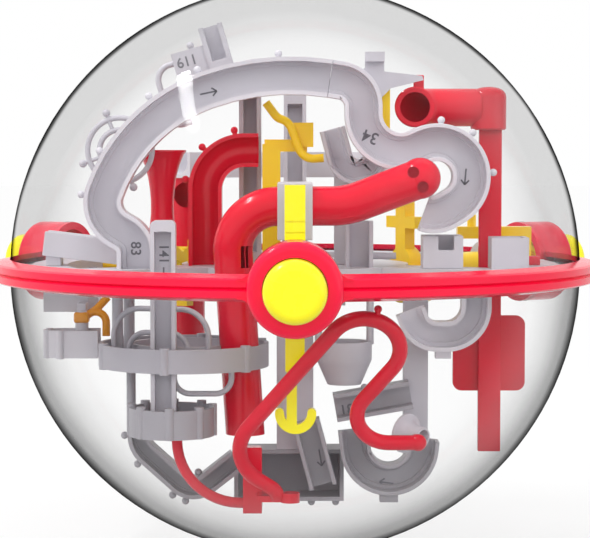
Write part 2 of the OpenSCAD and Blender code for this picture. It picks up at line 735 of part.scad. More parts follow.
// grey rear gutters: one above the deck and one below
module rear_track() color([0.8, 0.79, 0.85]) {
    rotate([0, 0, 43]) rotate_extrude(angle = 94) translate([56, 30]) gutter(11, 9, track_t);
    block([-4, 48, 30], [4, 51.5, 33]);
    block([-2, 48, 33], [2, 49, 62]);
}

// red rear pipe from the upper rear track down past the deck
module rear_pipe() color([0.88, 0.07, 0.17])
    translate([-38.5, 45, -36]) difference() {
        cylinder(r = pipe_r, h = 66);
        translate([0, 0, -1]) cylinder(r = pipe_r - pipe_t, h = 68);
        translate([0, 0, 60]) rotate([90, 0, 0]) cylinder(r = 4.5, h = 12);
    }

// steel ball at rest at the low end of the start gutter
module steel_ball() color([0.8, 0.8, 0.82])
    lay_path(-31, 50, -14, 0, -gutter_slope)
        translate([0, gutter_w / 2 - (gutter_w / 2 - track_t - ball_r) + 0.3, 49 - track_t - ball_r - 0.3])
        sphere(ball_r);

upper_shell();
lower_shell();
ring_upper();
ring_lower();
carrier_deck();
front_knob();
left_knob();
right_knob();
lift_arm();
left_rotor();
right_rotor();
arch_track();
s_track();
top_clip();
mast_bracket();
loop_rail();
number_column();
half_pipe();
vase();
wave_post();
vee_track();
pipe_coupler();
elbow_pipe();
swan_pipe();
top_tube();
flat_post();
back_plate();
peg_rail();
tower_track();
right_box();
right_cup();
right_beam();
left_beam();
left_ramp();
round_dish();
small_dish();
left_gutter();
left_hook();
v_chute();
number_ramp();
arrow_chute();
u_bend_track();
keel_post();
tall_post();
drop_post();
arc_rail();
wavy_rail();
funnel_wheel();
j_track();
cone_box();
rear_gutter();
rear_mast();
rear_keel();
rear_track();
rear_pipe();
steel_ball();
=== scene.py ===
import math
import bmesh
import bpy
from mathutils import Matrix, Vector


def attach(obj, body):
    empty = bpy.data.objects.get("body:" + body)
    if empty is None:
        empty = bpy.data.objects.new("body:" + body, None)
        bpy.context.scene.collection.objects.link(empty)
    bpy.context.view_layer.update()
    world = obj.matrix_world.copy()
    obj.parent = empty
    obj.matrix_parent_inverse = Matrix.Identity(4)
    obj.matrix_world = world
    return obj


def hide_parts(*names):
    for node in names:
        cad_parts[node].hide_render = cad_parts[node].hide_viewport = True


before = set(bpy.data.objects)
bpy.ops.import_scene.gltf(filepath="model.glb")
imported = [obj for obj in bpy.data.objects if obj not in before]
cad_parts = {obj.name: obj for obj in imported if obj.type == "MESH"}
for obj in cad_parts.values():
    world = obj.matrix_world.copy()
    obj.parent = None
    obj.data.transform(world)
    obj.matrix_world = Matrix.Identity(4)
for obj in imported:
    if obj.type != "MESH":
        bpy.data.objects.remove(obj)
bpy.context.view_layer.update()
scene = bpy.context.scene
scene.view_settings.view_transform = "Standard"


# Studio: the globe is looked at from just above its red ring, alone on white paper.
# A soft sky lights it from the upper left front; a strip lamp gives the sharp gleam,
# and a broad lamp fills the right.
def link_new(obj):
    scene.collection.objects.link(obj)
    return obj


def add_node(tree, kind, values=None):
    """A new node, with the values of the inputs that nothing is wired to."""
    made = tree.nodes.new(kind)
    for socket, value in (values or {}).items():
        made.inputs[socket].default_value = value
    return made


def wire(tree, source, out, target, socket):
    tree.links.new(source.outputs[out], target.inputs[socket])


def grey(level):
    return (level, level, level, 1)


eye_distance = 0.72
tilt = math.radians(3.4)
picture_width = 590
focal_pixels = 2140
film_width = 36
camera = link_new(bpy.data.objects.new("camera", bpy.data.cameras.new("camera")))
camera.location = (0, -eye_distance * math.cos(tilt), eye_distance * math.sin(tilt))
camera.rotation_euler = (math.pi / 2 - tilt, 0, 0)
camera.data.sensor_fit = "HORIZONTAL"
camera.data.sensor_width = film_width
camera.data.lens = focal_pixels / picture_width * film_width
camera.data.clip_start = 0.01
scene.camera = camera


def seen_white(tree):
    """1 for what the eye, a gloss or a clear wall sees of the paper, 0 for the light it throws."""
    path = add_node(tree, "ShaderNodeLightPath")
    eye_or_gloss = add_node(tree, "ShaderNodeMath")
    eye_or_gloss.operation = "MAXIMUM"
    wire(tree, path, "Is Camera Ray", eye_or_gloss, 0)
    wire(tree, path, "Is Glossy Ray", eye_or_gloss, 1)
    any_sight = add_node(tree, "ShaderNodeMath")
    any_sight.operation = "MAXIMUM"
    wire(tree, eye_or_gloss, 0, any_sight, 0)
    wire(tree, path, "Is Transmission Ray", any_sight, 1)
    return any_sight


light_from = (-0.3, -0.78, 0.55)
dim_side, bright_side = 0.1, 1.7
world = bpy.data.worlds.new("white_surround")
scene.world = world
world.use_nodes = True
air = world.node_tree
air.nodes.clear()
around = add_node(air, "ShaderNodeTexCoord")
toward = add_node(air, "ShaderNodeVectorMath", {1: light_from})
toward.operation = "DOT_PRODUCT"
wire(air, around, "Generated", toward, 0)
soft_box = add_node(air, "ShaderNodeMapRange", {
    "From Min": -0.6, "From Max": 1.0, "To Min": dim_side, "To Max": bright_side})
soft_box.interpolation_type = "SMOOTHSTEP"
wire(air, toward, "Value", soft_box, "Value")
sky_light = add_node(air, "ShaderNodeBackground", {"Color": grey(1)})
wire(air, soft_box, 0, sky_light, "Strength")
paper_white = add_node(air, "ShaderNodeBackground", {"Color": grey(1), "Strength": 1.0})
sky_pick = add_node(air, "ShaderNodeMixShader")
wire(air, seen_white(air), 0, sky_pick, 0)
wire(air, sky_light, 0, sky_pick, 1)
wire(air, paper_white, 0, sky_pick, 2)
wire(air, sky_pick, 0, add_node(air, "ShaderNodeOutputWorld"), "Surface")

floor_level = -0.0953
floor_reach = 6
floor_mesh = bpy.data.meshes.new("floor")
floor_mesh.from_pydata([(x * floor_reach, y * floor_reach, floor_level)
                        for x, y in ((-1, -1), (1, -1), (1, 1), (-1, 1))], [], [(0, 1, 2, 3)])
floor = link_new(bpy.data.objects.new("floor", floor_mesh))
floor_paper = bpy.data.materials.new("floor_paper")
floor_paper.use_nodes = True
sheet = floor_paper.node_tree
sheet.nodes.clear()
thrown_paper = add_node(sheet, "ShaderNodeBsdfDiffuse", {"Color": grey(0.45)})
shadow_paper = add_node(sheet, "ShaderNodeBsdfDiffuse", {"Color": grey(0.16)})
glow = add_node(sheet, "ShaderNodeEmission", {"Strength": 0.81})
seen_paper = add_node(sheet, "ShaderNodeAddShader")
wire(sheet, shadow_paper, 0, seen_paper, 0)
wire(sheet, glow, 0, seen_paper, 1)
floor_pick = add_node(sheet, "ShaderNodeMixShader")
wire(sheet, seen_white(sheet), 0, floor_pick, 0)
wire(sheet, thrown_paper, 0, floor_pick, 1)
wire(sheet, seen_paper, 0, floor_pick, 2)
wire(sheet, floor_pick, 0, add_node(sheet, "ShaderNodeOutputMaterial"), "Surface")
floor_mesh.materials.append(floor_paper)

for name, place, along, width, length, watts in (
        ("left_strip", (-0.506, -0.089, 0.799), (0.11, 0.98, 0.18), 0.065, 0.46, 3.4),
        ("right_lamp", (1.4, -0.9, 0.4), (0, 0, 1), 1.4, 1.4, 4.0)):
    lamp = link_new(bpy.data.objects.new(name, bpy.data.lights.new(name, "AREA")))
    lamp.data.shape = "RECTANGLE"
    lamp.data.size = width
    lamp.data.size_y = length
    lamp.data.energy = watts
    back = Vector(place).normalized()
    long_way = (Vector(along) - back * back.dot(Vector(along))).normalized()
    turn = Matrix((long_way.cross(back), long_way, back)).transposed()
    lamp.matrix_world = Matrix.Translation(place) @ turn.to_4x4()


# Carrier deck: the grey plastic spoked disc that carries the maze, clamped by its rim in the ring.
# Injection moulded, with a satin skin, faint flow marks and a fine grain.
def noise_over(tree, where, out, scale, detail):
    """A noise pattern laid over the place that another node gives."""
    pattern = add_node(tree, "ShaderNodeTexNoise", {"Scale": scale, "Detail": detail})
    wire(tree, where, out, pattern, "Vector")
    return pattern


def moulded(name, colour, deep, rough, grain=0.03, coat=0.0):
    """A plastic that drifts between two colours, with uneven gloss and a fine grain."""
    mat = bpy.data.materials.new(name)
    mat.use_nodes = True
    tree = mat.node_tree
    skin = tree.nodes["Principled BSDF"]
    where = add_node(tree, "ShaderNodeTexCoord")
    flow = noise_over(tree, where, "Object", scale=38, detail=3)
    flow.inputs["Distortion"].default_value = 0.6
    spread = add_node(tree, "ShaderNodeMapRange", {"From Min": 0.3, "From Max": 0.7})
    wire(tree, flow, "Fac", spread, "Value")
    shade = add_node(tree, "ShaderNodeMix", {6: (*deep, 1), 7: (*colour, 1)})
    shade.data_type = "RGBA"
    wire(tree, spread, 0, shade, 0)
    wire(tree, shade, 2, skin, "Base Color")
    scuff = noise_over(tree, where, "Object", scale=170, detail=4)
    gloss = add_node(tree, "ShaderNodeMapRange", {"To Min": rough - 0.06, "To Max": rough + 0.08})
    wire(tree, scuff, "Fac", gloss, "Value")
    wire(tree, gloss, 0, skin, "Roughness")
    pits = noise_over(tree, where, "Object", scale=1500, detail=2)
    bump = add_node(tree, "ShaderNodeBump", {"Strength": grain, "Distance": 0.0004})
    wire(tree, pits, "Fac", bump, "Height")
    wire(tree, bump, 0, skin, "Normal")
    skin.inputs["Coat Weight"].default_value = coat
    skin.inputs["Coat Roughness"].default_value = 0.08
    skin.inputs["IOR"].default_value = 1.5
    skin.inputs["Specular IOR Level"].default_value = 0.25
    return mat


def dress(mat, *names):
    for name in names:
        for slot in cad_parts[name].material_slots:
            slot.material = mat


deck_grey = moulded("deck_grey", (0.64, 0.625, 0.67), (0.57, 0.555, 0.6), rough=0.36)
dress(deck_grey, "carrier_deck")

# Grey posts, masts and small boxes: the upright ribs that stand on the deck or hang under it.
# Moulded in the same grey plastic, a touch darker, with their long edges softened; pegged into the deck.
same_point = 1e-6
soft_edge = 0.0003


def soften(*names):
    """Round the moulding's edges a little."""
    for name in names:
        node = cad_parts[name]
        node.modifiers.new("join", "WELD").merge_threshold = same_point
        edge = node.modifiers.new("soft_edges", "BEVEL")
        edge.width = soft_edge
        edge.segments = 2
        edge.limit_method = "ANGLE"
        edge.angle_limit = math.radians(60)


post_grey = moulded("post_grey", (0.6, 0.58, 0.63), (0.53, 0.51, 0.56), rough=0.38)
posts = ("keel_post", "tall_post", "rear_mast", "rear_keel", "mast_bracket", "number_column",
         "pipe_coupler", "tower_track", "right_box", "cone_box")
dress(post_grey, "top_clip", "loop_rail", "right_cup", *posts)
soften(*posts)

# Grey gutters: the ball's open tracks, from the big arch down to the deck and behind it.
# Pale lilac-grey plastic with a silky run surface, moulded open and clipped to the posts.
gutter_grey = moulded("gutter_grey", (0.69, 0.67, 0.72), (0.62, 0.6, 0.65), rough=0.34)
gutters = ("s_track", "vee_track", "left_ramp", "j_track", "rear_track")
dress(gutter_grey, "arch_track", "rear_gutter", *gutters)
soften(*gutters)

# Low group: the two round dishes at the left, where a missed ball is caught, and the chutes and U bend below.
# The same moulding, painted a deeper grey the lower it hangs, for the shade low in the globe; the dishes
# carry wire hoops and bumpy walls.
# Painted shade: both greys are darker copies of the gutters' grey, for the shade low in the globe, and the
# lowest pieces are darkest.
dish_shaded_grey = moulded("dish_shaded_grey", (0.5, 0.485, 0.53), (0.42, 0.405, 0.45), rough=0.36)
dress(dish_shaded_grey, "round_dish")
low_shaded_grey = moulded("low_shaded_grey", (0.42, 0.405, 0.44), (0.35, 0.335, 0.37), rough=0.36)
chutes = ("v_chute", "number_ramp", "arrow_chute", "u_bend_track")
dress(low_shaded_grey, "small_dish", *chutes)
soften(*chutes)

# Numbers and arrows: moulded marks that count the ball's stages, standing a hair proud of the gutter floors,
# painted dark grey for the shade round their relief.
# Text and pen strokes, made flat, stood up facing the front and laid on the floor of each track.
upright = Matrix.Rotation(math.pi / 2, 4, "X")
mark_thick = 0.2
letter_swell = 0.07
pen_width = 0.52
head_long, head_half = 1.5, 1.3
marks = bmesh.new()


def at(place):
    """The move to a place in millimetres."""
    return Matrix.Translation(Vector(place) / 1000)


def lay_mark(mesh, place, turn):
    """Turn a flat mark by degrees, stand it up and put it in its place."""
    mesh.transform(at(place) @ upright @ Matrix.Rotation(math.radians(turn), 4, "Z"))
    marks.from_mesh(mesh)


for word, size, place, turn in (
        ("119", 4.6, (-35.5, -14, 69.3), 196),
        ("83", 4.6, (-51.6, -27.3, 8.2), -90),
        ("141", 4.2, (-41.25, -47.8, 7.6), -90),
        ("34", 5.4, (24.3, -27.3, 44.4), 160),
        ("18", 4.8, (17.0, -23.3, -44.8), 10),
        ("3", 4.4, (37.0, -23.3, -52.0), -30)):
    letters = bpy.data.curves.new("letters", "FONT")
    letters.body = word
    letters.size = size / 1000
    letters.extrude = mark_thick / 2000
    letters.offset = letter_swell / 1000
    letters.align_x = "CENTER"
    letters.align_y = "CENTER"
    holder = bpy.data.objects.new("letters", letters)
    lay_mark(bpy.data.meshes.new_from_object(holder), place, turn)
    bpy.data.objects.remove(holder)


def pen_stroke(work, start, end):
    """A straight stroke between two flat points in millimetres."""
    start, end = Vector((*start, 0)), Vector((*end, 0))
    way = end - start
    bmesh.ops.create_cube(work, size=0.001, matrix=at((start + end) / 2)
                          @ Matrix.Rotation(math.atan2(way.y, way.x), 4, "Z")
                          @ Matrix.Diagonal((way.length, pen_width, mark_thick, 1)))


for length, place, turn in (
        (5.5, (-27.9, -27.3, 58.5), 12),
        (5.2, (55.0, -27.3, 31.5), -95),
        (5.5, (8.3, -23.3, -60.4), -80),
        (4.6, (30.0, -23.3, -68.7), 172),
        (3.6, (-41.25, -47.8, 1.6), -90)):
    tip = length / 2
    work = bmesh.new()
    for start in ((-tip, 0), (tip - head_long, head_half), (tip - head_long, -head_half)):
        pen_stroke(work, start, (tip, 0))
    arrow = bpy.data.meshes.new("arrow")
    work.to_mesh(arrow)
    work.free()
    lay_mark(arrow, place, turn)

mark_mesh = bpy.data.meshes.new("track_marks")
marks.to_mesh(mark_mesh)
marks.free()
# Painted shade: the marks' dark grey stands in for the shade round the moulded numbers and arrows.
mark_mesh.materials.append(moulded("mark_shade_grey", (0.2, 0.195, 0.22), (0.15, 0.145, 0.17), rough=0.45))
track_marks = link_new(bpy.data.objects.new("track_marks", mark_mesh))
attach(track_marks, "globe")

# Red pipes, rails and plates: glossy crimson mouldings, hollow where the ball runs through them.
# Each pipe is two halves snapped together; the plates and posts hang from the deck.
pipe_red = moulded("pipe_red", (0.76, 0.003, 0.03), (0.66, 0.002, 0.02), rough=0.18, grain=0.015, coat=0.2)
dress(pipe_red, "half_pipe", "elbow_pipe", "swan_pipe", "back_plate", "drop_post", "wavy_rail", "rear_pipe")
soften("back_plate", "drop_post")

# Pipe seams: the fine raised line that the mould's halves leave along the two big pipes, low on the front.
# Each follows its pipe's centre line, swept by geometry nodes as a thin bead and left in the pipe's red.
bead = bpy.data.node_groups.new("seam_bead", "GeometryNodeTree")
for label, way, kind in (
        ("Line", "INPUT", "NodeSocketGeometry"),
        ("Bead radius", "INPUT", "NodeSocketFloat"),
        ("Step", "INPUT", "NodeSocketFloat"),
        ("Plastic", "INPUT", "NodeSocketMaterial"),
        ("Bead", "OUTPUT", "NodeSocketGeometry")):
    bead.interface.new_socket(label, in_out=way, socket_type=kind)
given = add_node(bead, "NodeGroupInput")
line_curve = add_node(bead, "GeometryNodeMeshToCurve")
even = add_node(bead, "GeometryNodeResampleCurve")
even.mode = "LENGTH"
section = add_node(bead, "GeometryNodeCurvePrimitiveCircle", {"Resolution": 18})
swept = add_node(bead, "GeometryNodeCurveToMesh", {"Fill Caps": True})
whole = add_node(bead, "GeometryNodeRealizeInstances")
painted = add_node(bead, "GeometryNodeSetMaterial")
wire(bead, given, "Line", line_curve, "Mesh")
wire(bead, line_curve, "Curve", even, "Curve")
wire(bead, given, "Step", even, "Length")
wire(bead, given, "Bead radius", section, "Radius")
wire(bead, even, "Curve", swept, "Curve")
wire(bead, section, "Curve", swept, "Profile Curve")
wire(bead, swept, "Mesh", whole, "Geometry")
wire(bead, whole, "Geometry", painted, "Geometry")
wire(bead, given, "Plastic", painted, "Material")
wire(bead, painted, "Geometry", add_node(bead, "NodeGroupOutput"), "Bead")


def pipe_line(steps, heading):
    """Points in millimetres and headings in radians along straights (length,) and bends (radius, degrees)."""
    x = z = 0.0
    line = []
    for step in steps:
        count = 1 if len(step) == 1 else 12
        for _ in range(count):
            line.append((x, z, heading))
            if len(step) == 1:
                run, turn = step[0], 0.0
            else:
                turn = math.radians(step[1]) / count
                run = 2 * step[0] * math.sin(abs(turn) / 2)
            x += run * math.cos(heading + turn / 2)
            z += run * math.sin(heading + turn / 2)
            heading += turn
    return line + [(x, z, heading)]


def bead_mesh(name, spine, radius, plastic, step=1.2):
    """A round bead along points in millimetres, as a plain mesh."""
    thread = bpy.data.meshes.new(name + "_line")
    thread.from_pydata([Vector(p) / 1000 for p in spine], [(k, k + 1) for k in range(len(spine) - 1)], [])
    maker = link_new(bpy.data.objects.new(name + "_maker", thread))
    build = maker.modifiers.new("bead", "NODES")
    build.node_group = bead
    values = {"Bead radius": radius / 1000, "Step": step / 1000, "Plastic": plastic}
    for socket in bead.interface.items_tree:
        if socket.name in values:
            build[socket.identifier] = values[socket.name]
    bpy.context.view_layer.update()
    mesh = bpy.data.meshes.new_from_object(maker.evaluated_get(bpy.context.evaluated_depsgraph_get()))
    bpy.data.objects.remove(maker)
    return mesh


pipe_radius = 6.22
seam_radius = 0.16
seam_turn = math.radians(38)
swan_start = Vector((5.5, -44, 22.5))
swan_lead, swan_bend, swan_tail = 6, (26, 20.6), 20
bare_tail = 5
elbow_start = Vector((-4, -44, 22.5))
elbow_steps = ((2.5,), (14, 90), (56,))
elbow_lean = Matrix.Rotation(math.radians(7.2), 4, "X") @ Matrix.Rotation(math.radians(-3.5), 4, "Y")
for name, steps, heading, side, place in (
        ("swan_seam", ((swan_lead,), swan_bend, (swan_tail - bare_tail,)), 0.0, -1,
         Matrix.Translation(swan_start)),
        ("elbow_seam", elbow_steps, math.pi, 1, Matrix.Translation(elbow_start) @ elbow_lean)):
    low = side * pipe_radius * math.sin(seam_turn)
    front = -pipe_radius * math.cos(seam_turn)
    spine = [place @ Vector((x - low * math.sin(h), front, z + low * math.cos(h)))
             for x, z, h in pipe_line(steps, heading)]
    seam = link_new(bpy.data.objects.new(name, bead_mesh(name, spine, seam_radius, pipe_red)))
    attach(seam, "globe")

# Arc rail: the bent red rod from under the small dish to the foot of the red drop post.
# Swept with the seams' nodes along its quarter circle, as thick as the photograph shows it.
arc_start = Vector((-37.5, -43, -50))
arc_steps = ((2,), (20, 90), (1,))
rod_radius = 1.7
arc_line = [arc_start + Vector((x, 0, z)) for x, z, h in pipe_line(arc_steps, -math.pi / 2)]
arc_rail = link_new(bpy.data.objects.new(
    "arc_rail_rod", bead_mesh("arc_rail_rod", arc_line, rod_radius, pipe_red)))
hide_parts("arc_rail")
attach(arc_rail, "globe")

# Swan pipe's end: two round dimples in its closed dome, where the mould's core pins stood.
# Thin discs, painted dark red for the shade in the dimples, that lie in the pipe's two end holes.
dimple_radius, dimple_thick = 1.76, 0.6
end_x, end_z, _ = pipe_line(((swan_lead,), swan_bend, (swan_tail,)), 0.0)[-1]
dimples = bmesh.new()
for across, up, face in ((-2.4, 2.0, -49.1), (0.6, -2.6, -49.4)):
    place = (swan_start.x + end_x + across, face, swan_start.z + end_z + up)
    bmesh.ops.create_cone(dimples, cap_ends=True, segments=32, radius1=dimple_radius / 1000,
                          radius2=dimple_radius / 1000, depth=dimple_thick / 1000, matrix=at(place) @ upright)
dimple_mesh = bpy.data.meshes.new("swan_dimples")
dimples.to_mesh(dimple_mesh)
dimples.free()
# Painted shade: the discs' dark red stands in for the shade inside the dimples.
dimple_mesh.materials.append(
    moulded("dimple_shade_red", (0.3, 0.001, 0.012), (0.24, 0.001, 0.01), rough=0.3, grain=0.015))
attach(link_new(bpy.data.objects.new("swan_dimples", dimple_mesh)), "globe")


# Vase: the red funnel at the left behind the arch, a trumpet with a waist, on a short stem and a foot.
# Turned from its outline on a lathe, with a wall of about one millimetre; the foot lies on the deck.
def put_in(work, part):
    """Add a finished part to the piece in work."""
    mesh = bpy.data.meshes.new("part")
    part.to_mesh(mesh)
    part.free()
    work.from_mesh(mesh)


def lathe(work, outline, place):
    """Turn an outline of radius and height, in millimetres, about its upright axis and put it in place."""
    part = bmesh.new()
    ring = [part.verts.new((r / 1000, 0, z / 1000)) for r, z in outline]
    pairs = list(zip(ring, ring[1:]))
    if outline[0][0] > 0:
        pairs.append((ring[-1], ring[0]))
    edges = [part.edges.new(pair) for pair in pairs]
    bmesh.ops.spin(part, geom=ring + edges, cent=(0, 0, 0), axis=(0, 0, 1), angle=math.tau, steps=64,
                   use_merge=True)
    bmesh.ops.remove_doubles(part, verts=part.verts, dist=same_point)
    bmesh.ops.recalc_face_normals(part, faces=part.faces)
    bmesh.ops.transform(part, matrix=place, verts=part.verts)
    put_in(work, part)


def rounded_block(work, low, high, edge=0.3):
    """A moulded block between two corners in millimetres, with rounded edges."""
    part = bmesh.new()
    low, high = Vector(low) / 1000, Vector(high) / 1000
    bmesh.ops.create_cube(part, size=1, matrix=Matrix.Translation((low + high) / 2)
                          @ Matrix.Diagonal((*(high - low), 1)))
    bmesh.ops.bevel(part, geom=part.edges[:], offset=edge / 1000, segments=3, profile=0.5, affect="EDGES")
    put_in(work, part)


def smooth_piece(name, work, mat):
    """The piece in work as an object, smooth but for its sharp edges."""
    mesh = bpy.data.meshes.new(name)
    work.to_mesh(mesh)
    work.free()
    mesh.shade_smooth()
    mesh.set_sharp_from_angle(angle=math.radians(35))
    mesh.materials.append(mat)
    return link_new(bpy.data.objects.new(name, mesh))


vase_stem = ((0, 2.5), (2.6, 2.5), (2.6, 9.5), (4.6, 11.2), (4.7, 12.2))
vase_outside = ((4.2, 15), (3.8, 19), (3.8, 23), (4.1, 27), (4.7, 31), (5.8, 35), (7.2, 38.4), (8, 39.4))
vase_lip = ((8, 40), (7.2, 40))
vase_inside = ((6.2, 38.4), (4.9, 35), (3.8, 31), (3.2, 27), (2.9, 23), (2.9, 19), (3.3, 15))
vase_bottom = ((3.4, 13.5), (0, 13))
vase_foot = ((-47, -20, 2), (-41, -6.5, 4))
vase_axis = (-44, -9.5, 0)
work = bmesh.new()
lathe(work, vase_stem + vase_outside + vase_lip + vase_inside + vase_bottom, at(vase_axis))
rounded_block(work, *vase_foot)
vase = smooth_piece("vase_trumpet", work, pipe_red)
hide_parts("vase")
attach(vase, "globe")


# Top tube: the red tube at the upper right, its flanged mouth to the front, run into a domed cap.
# A hollow sweep with a turned flange and cap, and a tab on the mouth; the cap sits on the flat post.
def hollow_tube(work, line, outer, inner, sides=48):
    """A tube with a wall along level points and headings, in millimetres and radians."""
    part = bmesh.new()
    rows = []
    for point, heading in line:
        side = Vector((math.sin(heading), -math.cos(heading), 0))
        turns = [math.tau * k / sides for k in range(sides)]
        spokes = [side * math.cos(a) + Vector((0, 0, math.sin(a))) for a in turns]
        rows.append([[part.verts.new((point + spoke * radius) / 1000) for spoke in spokes]
                     for radius in (outer, inner)])
    walls = [(a[n], b[n]) for a, b in zip(rows, rows[1:]) for n in (0, 1)]
    for a, b in walls + [rows[0], rows[-1]]:
        for k in range(sides):
            part.faces.new((a[k], a[k - 1], b[k - 1], b[k]))
    bmesh.ops.recalc_face_normals(part, faces=part.faces)
    put_in(work, part)


tube_outer, tube_inner = 6.25, 4.85
mouth = Vector((39, -22, 54))
tube_start = mouth + Vector((0, 0.5, 0))
tube_steps = ((2.5,), (8, -90), (14,))
tube_line = [(tube_start + Vector((x, y, 0)), h) for x, y, h in pipe_line(tube_steps, math.pi / 2)]
flange = ((tube_inner, 0), (6.2, 0), (6.6, 0.4), (6.6, 2.2), (6.2, 2.6), (tube_inner, 2.6))
cap_side = ((0, 46.6), (5.4, 46.6), (5.9, 47.1), (5.9, 57.4))
cap_dome = ((5.6, 58.7), (4.8, 59.7), (3.4, 60.4), (1.6, 60.8), (0, 60.9))
cap_axis = (63.8, -11, 0)
mouth_tab = ((38.5, -21.4, 59.4), (41.9, -19.6, 64.4))
work = bmesh.new()
hollow_tube(work, tube_line, tube_outer, tube_inner)
lathe(work, flange, at(mouth) @ upright.inverted())
lathe(work, cap_side + cap_dome, at(cap_axis))
rounded_block(work, *mouth_tab, edge=0.4)
top_tube = smooth_piece("top_tube_tee", work, pipe_red)
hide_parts("top_tube")
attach(top_tube, "globe")

# Flat post: the long red strip that carries the top tube's cap and runs down past the deck to the low plate.
# One moulded bar with rounded edges, on a foot that lies on the deck's rim.
strip = ((60.7, -12.5, -60), (68.2, -9.5, 49))
strip_foot = ((67, -13, 2), (81, -9, 5))
work = bmesh.new()
rounded_block(work, *strip, edge=0.4)
rounded_block(work, *strip_foot, edge=0.4)
flat_post = smooth_piece("flat_post_strip", work, pipe_red)
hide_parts("flat_post")
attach(flat_post, "globe")

# Funnel wheel: the small grey funnel at the wavy rail's end, its wide mouth behind, its neck to the front.
# Turned on the same lathe; the rail's pin ends in its neck, and an arm holds its rim on the tall post.
funnel_outside = ((6.3, 0), (6.3, 0.9), (5.4, 1.4), (4.3, 2.2), (3.6, 3.2), (3.3, 4.4), (3.2, 7.4), (3, 7.8))
funnel_inside = ((2.5, 7.8), (2.4, 7.4), (2.4, 4.4), (2.8, 3.2), (3.6, 2.1), (4.7, 1.2), (5.6, 0.6), (5.7, 0))
funnel_place = (34.8, -46, -49.2)
neck_aim = Vector((0.7, -0.7, -0.1)).to_track_quat("Z", "Y").to_matrix().to_4x4()
funnel_arm = ((37, -42.6, -50.5), (40, -22, -48))
work = bmesh.new()
lathe(work, funnel_outside + funnel_inside, at(funnel_place) @ neck_aim)
rounded_block(work, *funnel_arm)
wheel = smooth_piece("funnel_wheel_cone", work, post_grey)
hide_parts("funnel_wheel")
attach(wheel, "globe")

# Yellow bars, pegs and rotors inside the globe, with a faint gloss.
# Yellow plastic, painted a deeper orange-yellow for the shade inside the globe, each moulded in one with its
# pegs; the two rotors sit on the side dials' shafts.
# Painted shade: the bars' yellow is a deeper, more orange copy of the dials' yellow, for the shade inside the
# globe.
shaded_bar_yellow = moulded("shaded_bar_yellow", (0.98, 0.70, 0.015), (0.95, 0.58, 0.01), rough=0.3, grain=0.02, coat=0.2)
bars = ("wave_post", "peg_rail", "right_beam", "left_beam", "left_rotor", "right_rotor")
dress(shaded_bar_yellow, *bars)
soften(*bars)


# Left tray: a box under the deck's left rim, open behind, and a boat-shaped tray below it on a round pin.
# Pale grey like the gutters, with thin walls; the tray has a rounded end with ribs outside it.
def slab(work, outline, low, high):
    """A flat outline, seen from above, drawn up from a low to a high level, all in millimetres."""
    part = bmesh.new()
    base = part.faces.new([part.verts.new((x / 1000, y / 1000, low / 1000)) for x, y in outline])
    for new in bmesh.ops.extrude_face_region(part, geom=[base])["geom"]:
        if isinstance(new, bmesh.types.BMVert):
            new.co.z = high / 1000
    bmesh.ops.recalc_face_normals(part, faces=part.faces)
    put_in(work, part)


def open_tray(work, outer, inner, low, high, floor_thick=1.4):
    """A thin wall between two outlines that leaves one side open, with a floor."""
    slab(work, outer + inner[::-1], low, high)
    slab(work, inner, low, low + floor_thick)


boat_middle = Vector((-76, -16))
boat_open = -64.5
boat_radius, boat_wall = 6, 1.3
boat_low, boat_high = -28, -19


def boat_outline(radius):
    """From the open end along the front wall, round the left end and back along the rear wall."""
    turns = [math.radians(-90 - 7.5 * k) for k in range(25)]
    bend = [(boat_middle.x + radius * math.cos(a), boat_middle.y + radius * math.sin(a)) for a in turns]
    return [(boat_open, boat_middle.y - radius)] + bend + [(boat_open, boat_middle.y + radius)]


rib = ((0, 0), (1.2, 0), (1.2, 9.4), (0, 9.4))
rib_low = boat_low - 0.2
pin = ((0, 0), (2.2, 0), (2.2, 13.4), (1.6, 14.2), (0, 14.2))
pin_place = (-70.5, -13, -27)
box_outer = [(-66, 8), (-66, -3), (-69, -6), (-84, -6), (-84, 8)]
box_inner = [(-67.4, 8), (-67.4, -3.6), (-69.6, -4.7), (-82.6, -4.7), (-82.6, 8)]
box_low, box_high = -14, -1
pin_arm = ((-72, -14, -13.2), (-69, -5, -10.5))
work = bmesh.new()
open_tray(work, boat_outline(boat_radius), boat_outline(boat_radius - boat_wall), boat_low, boat_high)
for turn in map(math.radians, (150, 205, 262)):
    foot = boat_middle + boat_radius * Vector((math.cos(turn), math.sin(turn)))
    lathe(work, rib, at((*foot, rib_low)))
open_tray(work, box_outer, box_inner, box_low, box_high)
lathe(work, pin, at(pin_place))
rounded_block(work, *pin_arm)
left_tray = smooth_piece("left_gutter_tray", work, gutter_grey)
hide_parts("left_gutter")
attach(left_tray, "globe")

# Orange fork: a collar on the tray's pin, with one prong bent over and down and one reaching up to the right.
# Swept rods on a rounded block, in orange plastic; the pin holds it.
hook_orange = moulded("hook_orange", (0.95, 0.40, 0.02), (0.9, 0.32, 0.01), rough=0.32, grain=0.02, coat=0.2)
prong_radius = 1.3
bent_start = Vector((-69, -13, -14.6))
bent_steps = ((1.5,), (3.5, -120), (4.5,))
bent_prong = [bent_start + Vector((x, 0, z)) for x, z, h in pipe_line(bent_steps, math.radians(30))]
rising_prong = [(-69, -13, -14.8), (-65.5, -12.2, -12.4), (-62, -11.4, -8.6)]
collar = ((-73, -15.6, -17), (-68, -10.6, -13.4))
work = bmesh.new()
rounded_block(work, *collar, edge=0.8)
for prong in (bent_prong, rising_prong):
    work.from_mesh(bead_mesh("prong", prong, prong_radius, hook_orange))
fork = smooth_piece("left_hook_fork", work, hook_orange)
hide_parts("left_hook")
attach(fork, "globe")

